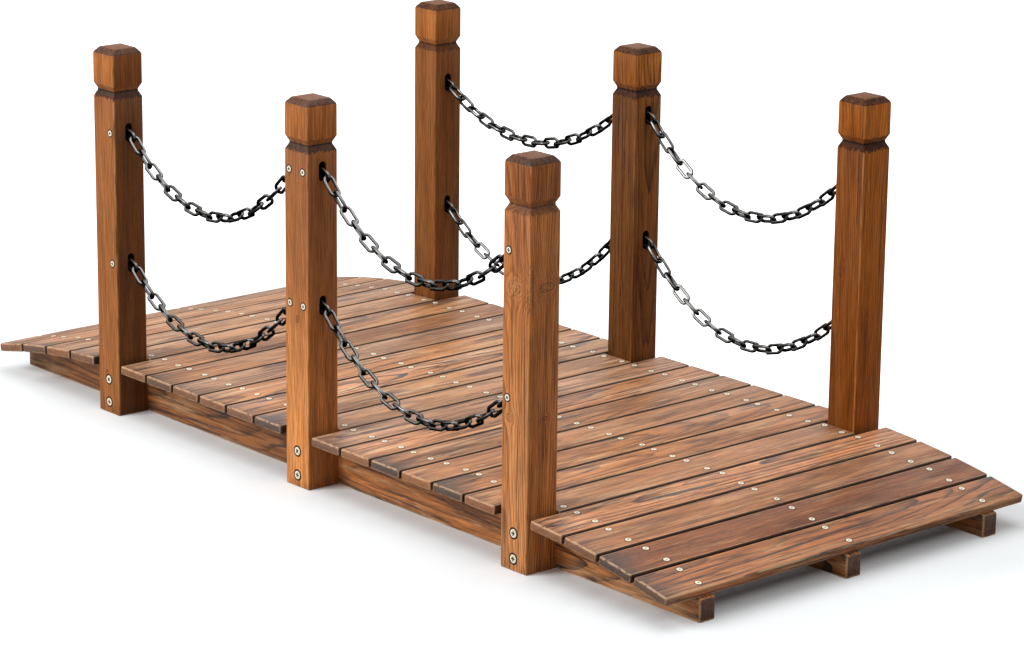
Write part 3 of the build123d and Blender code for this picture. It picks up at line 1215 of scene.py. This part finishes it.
@dataclass
class Screws:
    """Countersunk screws with crossed recesses: in the deck, at the feet and behind the chains."""

    deck_radius: float = 0.0043
    foot_radius: float = 0.0059
    chain_radius: float = 0.0043
    proud: float = 0.0006
    crown: float = 0.25
    flat: float = 0.2
    deck_rows: tuple[float, ...] = (-0.264, 0.0, 0.264)
    deck_offsets: tuple[float, ...] = (-0.019, 0.019)
    foot_levels: tuple[float, ...] = (0.052, 0.017)
    pin_offset: float = 0.0152
    plate: Coat = Coat(
        "screw_plate", Marks.PLATE, srgb(255, 251, 230), srgb(252, 236, 200), (0.3, 0.5), (0.35, 0.7), 0.8,
    )
    painted_shade_coat: Coat = Coat("screw_painted_shade", Marks.SHADE_NOISE, srgb(14, 8, 6), srgb(34, 19, 12), (0.6, 0.85))

    def head(self, arm_length: float, arm_width: float, rim_radius: float) -> Piece:
        """One head of unit radius facing up, with a dark rim round it and a dark recess, both painted shade.

        Args:
            arm_length: Length of each arm of the cross.
            arm_width: Its width.
            rim_radius: Outer radius of the dark rim, a painted shadow round the head.

        Returns:
            The head, about the origin.
        """
        cylinder = bpy.ops.mesh.primitive_cylinder_add
        rim = primitive(cylinder, vertices=16, radius=rim_radius, depth=0.3, location=(0, 0, -0.12))
        head = primitive(cylinder, vertices=16, radius=1.0, depth=2 * self.flat)
        with editing(head, Pick.FACES, lambda mid, way: way.z > 0.9):
            bpy.ops.mesh.inset(thickness=0.16)
            bpy.ops.transform.translate(value=(0, 0, self.crown - self.flat))
        for turn in (0.0, math.radians(90)):
            arm = block(Vector((arm_length, arm_width, 0.5)))
            shift(arm, (0, 0, self.crown))
            with editing(arm, Pick.VERTS):
                bpy.ops.transform.rotate(value=turn, orient_axis="Z", center_override=(0, 0, 0))
            finish_modifier(head, "BOOLEAN", object=arm, operation="DIFFERENCE", solver="EXACT")
            scrap(arm)
        materials = self.plate.material(), self.painted_shade_coat.material()
        for part in (head, rim):
            dress(part, *materials)
        # Painted shade: the faces of the cross recess take the dark finish, as does the whole rim.
        for face in head.data.polygons:
            inner = math.hypot(face.center.x, face.center.y) < 0.7
            face.material_index = 1 if inner and face.center.z < 0.22 else 0
        for face in rim.data.polygons:
            face.material_index = 1
        return join([head, rim], "screw_pattern")

    def build(self) -> None:
        """Set the screws in the deck, at the feet and behind the chains."""
        pattern, foot = self.head(0.6, 0.2, 1.26), self.head(1.15, 0.34, 1.44)
        dice = random.Random(7)
        places = []
        for name in node_names("board_"):
            lie = Lie.of(np.concatenate(node_islands(name)))
            for along in self.deck_rows:
                for across in self.deck_offsets:
                    x, y = across + dice.uniform(-0.002, 0.002), along + dice.uniform(-0.003, 0.003)
                    at = lie.place @ Matrix.Translation((x, y, lie.size.z / 2))
                    places.append(at @ self.turned(dice, self.deck_radius))
        self.set_in(pattern, places, "deck_screws")
        for side, sign in (("near", -1), ("far", 1)):
            face = Matrix.Rotation(math.radians(-90 * sign), 4, "X")
            feet, pins = [], []
            for station, letter in enumerate("abc", start=-1):
                low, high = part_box(f"post_{side}_{letter}")
                x, y = (low[0] + high[0]) / 2, low[1] if sign < 0 else high[1]
                for level in self.foot_levels:
                    at = Matrix.Translation((x, y, level)) @ face
                    feet.append(at @ self.turned(dice, self.foot_radius))
                for level in SLOT_LEVELS[station]:
                    for way in SLOT_WAYS[station]:
                        at = Matrix.Translation((x + way * self.pin_offset, y, level)) @ face
                        pins.append(at @ self.turned(dice, self.chain_radius))
            self.set_in(foot, feet, f"foot_screws_{side}")
            self.set_in(foot, pins, f"pin_heads_{side}")
        scrap(pattern, foot)

    def turned(self, dice: random.Random, radius: float) -> Matrix:
        """The turn by chance and the scale of a head, with its top just proud of the wood."""
        turn = Matrix.Rotation(dice.uniform(0, math.pi), 4, "Z")
        return turn @ Matrix.Diagonal((radius, radius, self.proud / self.crown, 1))

    def set_in(self, pattern: Piece, places: list[Matrix], name: str) -> None:
        """Copy the head to its places and make one piece of the copies."""
        heads = [twin(pattern, f"{name}_{i}", place) for i, place in enumerate(places)]
        fit_out(join(heads, name), "screw_steel")


@dataclass
class Studio:
    """Floor, lamps, world and camera."""

    eye: Place = (3.753373, -3.192026, 1.523774)
    azimuth: float = 49.055
    elevation: float = 15.267
    roll: float = 0.622
    lens: float = 124.053
    floor_size: float = 60.0
    painted_shade_inset: Pair = (0.0725, 0.065)
    middle: Pair = (0.0175, -0.025)
    glows: tuple[tuple[float, ...], ...] = ((0.0, 0.04, 0.16), (0.13, 0.44, 0.84))
    fill: float = 0.35

    def build(self) -> None:
        """Set up the whole studio."""
        self.floor()
        self.sky()
        self.lamp("key", (-1.2, -3.6, 2.6), 2.0, 130)
        self.lamp("top", (0.3, 0.2, 3.6), 3.0, 60)
        self.camera()
        bpy.context.scene.view_settings.view_transform = "Standard"

    def floor(self) -> None:
        """A pale floor that keeps the shadow and glows white to the eye away from the bridge; close round the
        bridge its glow is held back, which paints a darker shade there.
        """
        floor = primitive(bpy.ops.mesh.primitive_plane_add, size=self.floor_size)
        floor.name = "studio_floor"
        pad = Surface("pale_floor")
        seen = pad.lay("ShaderNodeLightPath", {}).outputs["Is Camera Ray"]
        # Painted shade: close round the bridge the floor's glow to the eye falls to nothing, so the floor is
        # darker there.
        inner = (cad_box[1][0] - self.painted_shade_inset[0], cad_box[1][1] - self.painted_shade_inset[1], 0.0)
        shifted = pad.vector("SUBTRACT", pad.coords, (*self.middle, 0.0))
        beyond = pad.vector("SUBTRACT", pad.vector("ABSOLUTE", shifted), inner)
        beyond = pad.vector("LENGTH", pad.vector("MAXIMUM", beyond, (0.0, 0.0, 0.0)))
        near, far = (pad.span(beyond, start, end, 0.0, glow) for start, end, glow in self.glows)
        pad.feed("Base Color", pad.mix(seen, (0.42, 0.42, 0.42), (0.83, 0.86, 0.875)))
        pad.feed("Roughness", 0.9)
        pad.feed("Specular IOR Level", 0.1)
        pad.feed("Emission Color", (1, 1, 1, 1))
        pad.feed("Emission Strength", pad.times(seen, pad.math("ADD", near, far)))
        dress(floor, pad.material)

    def sky(self) -> None:
        """A white world: full white to the eye, a soft fill for the wood."""
        world = bpy.data.worlds.new("studio_world")
        bpy.context.scene.world = world
        pad = Wiring(world, "Background")
        path = pad.lay("ShaderNodeLightPath", {}).outputs
        seen = pad.math("MAXIMUM", path["Is Camera Ray"], path["Is Glossy Ray"])
        seen = pad.math("MAXIMUM", seen, path["Is Transmission Ray"])
        pad.feed("Color", (1, 1, 1, 1))
        pad.feed("Strength", pad.span(seen, 0.0, 1.0, self.fill, 1.0))

    @staticmethod
    def lamp(name: str, place: Place, size: float, power: float) -> None:
        """A square soft lamp that looks at the bridge.

        Args:
            name: The lamp's name.
            place: Where it hangs.
            size: Its side in metres.
            power: Its power in watts.
        """
        data = bpy.data.lights.new(name, "AREA")
        data.size = size
        data.energy = power
        lamp = bpy.data.objects.new(name, data)
        lamp.location = place
        lamp.rotation_euler = (-Vector(place)).to_track_quat("-Z", "Y").to_euler()
        bpy.context.collection.objects.link(lamp)

    def camera(self) -> None:
        """The camera at the photograph's viewing angle."""
        data = bpy.data.cameras.new("camera")
        data.sensor_width = 36
        data.lens = self.lens
        camera = bpy.data.objects.new("camera", data)
        turns = ((self.azimuth, "Z"), (90 - self.elevation, "X"), (self.roll, "Z"))
        camera.matrix_world = Matrix.Translation(self.eye)
        for degrees, axis in turns:
            camera.matrix_world @= Matrix.Rotation(math.radians(degrees), 4, axis)
        bpy.context.collection.objects.link(camera)
        bpy.context.scene.camera = camera


def main() -> None:
    """Build and dress the bridge in order."""
    logging.basicConfig(level=logging.INFO, format="%(message)s")
    Stringers().build()
    Decking().build()
    Posts().build()
    Chains().build()
    Screws().build()
    Studio().build()


if __name__ == "__main__":
    main()
